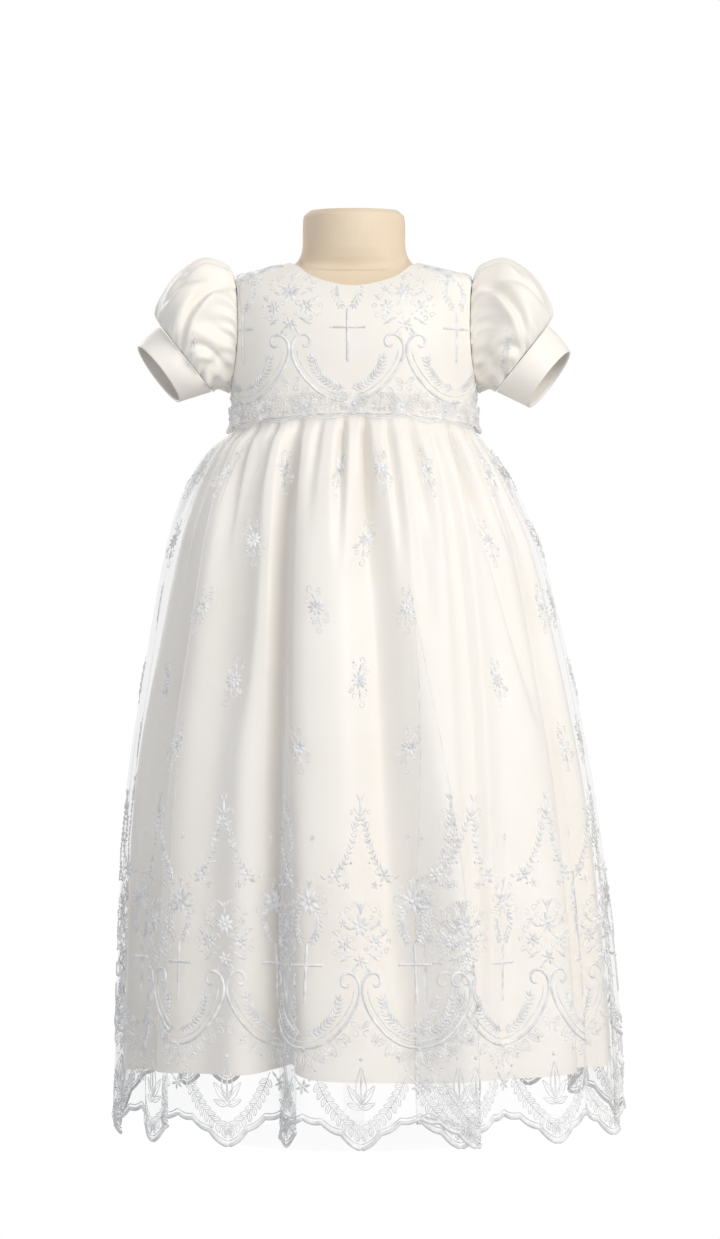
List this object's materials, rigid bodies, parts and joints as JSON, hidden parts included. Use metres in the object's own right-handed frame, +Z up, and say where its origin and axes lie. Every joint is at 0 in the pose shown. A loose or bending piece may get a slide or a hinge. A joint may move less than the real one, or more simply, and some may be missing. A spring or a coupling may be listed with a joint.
{
  "type": "christening gown on a dress form",
  "caption": "Long ivory christening gown with puff sleeves, embroidered net over satin and a scalloped lace hem, standing on a limbless child's dress form.",
  "frame": {"origin": "on the floor, at the middle of the stand's round base", "axes": "+Z up, +Y from the gown's front to its back, +X to the viewer's right"},
  "size_m": [0.3801, 0.3206, 0.6915],
  "materials": {
    "satin": "ivory satin with a soft sheen",
    "net": "fine sheer net, white",
    "thread": "white embroidery thread, raised",
    "form": "cream jersey over a padded form",
    "stand": "clear acrylic, polished",
    "button": "pearl white"
  },
  "bodies": {
    "root": {"form_torso": "form", "form_neck": "form", "stand_pole": "stand", "stand_base": "stand", "bodice_front": "satin", "bodice_back_left": "satin", "bodice_back_right": "satin", "sleeve_left": "satin", "cuff_left": "satin", "sleeve_right": "satin", "cuff_right": "satin", "waist_trim_front": "thread", "waist_trim_back_right": "thread", "waist_trim_back_left": "thread", "back_placket": "satin", "back_button_1": "button", "back_button_2": "button", "back_button_3": "button", "underskirt_front": "satin", "underskirt_back": "satin", "overskirt_front": "net", "overskirt_back": "net", "border_cord_front": "thread", "border_cord_back": "thread", "bodice_cross": "thread", "bodice_scroll_left": "thread", "bodice_scroll_right": "thread"}
  },
  "joints": []
}
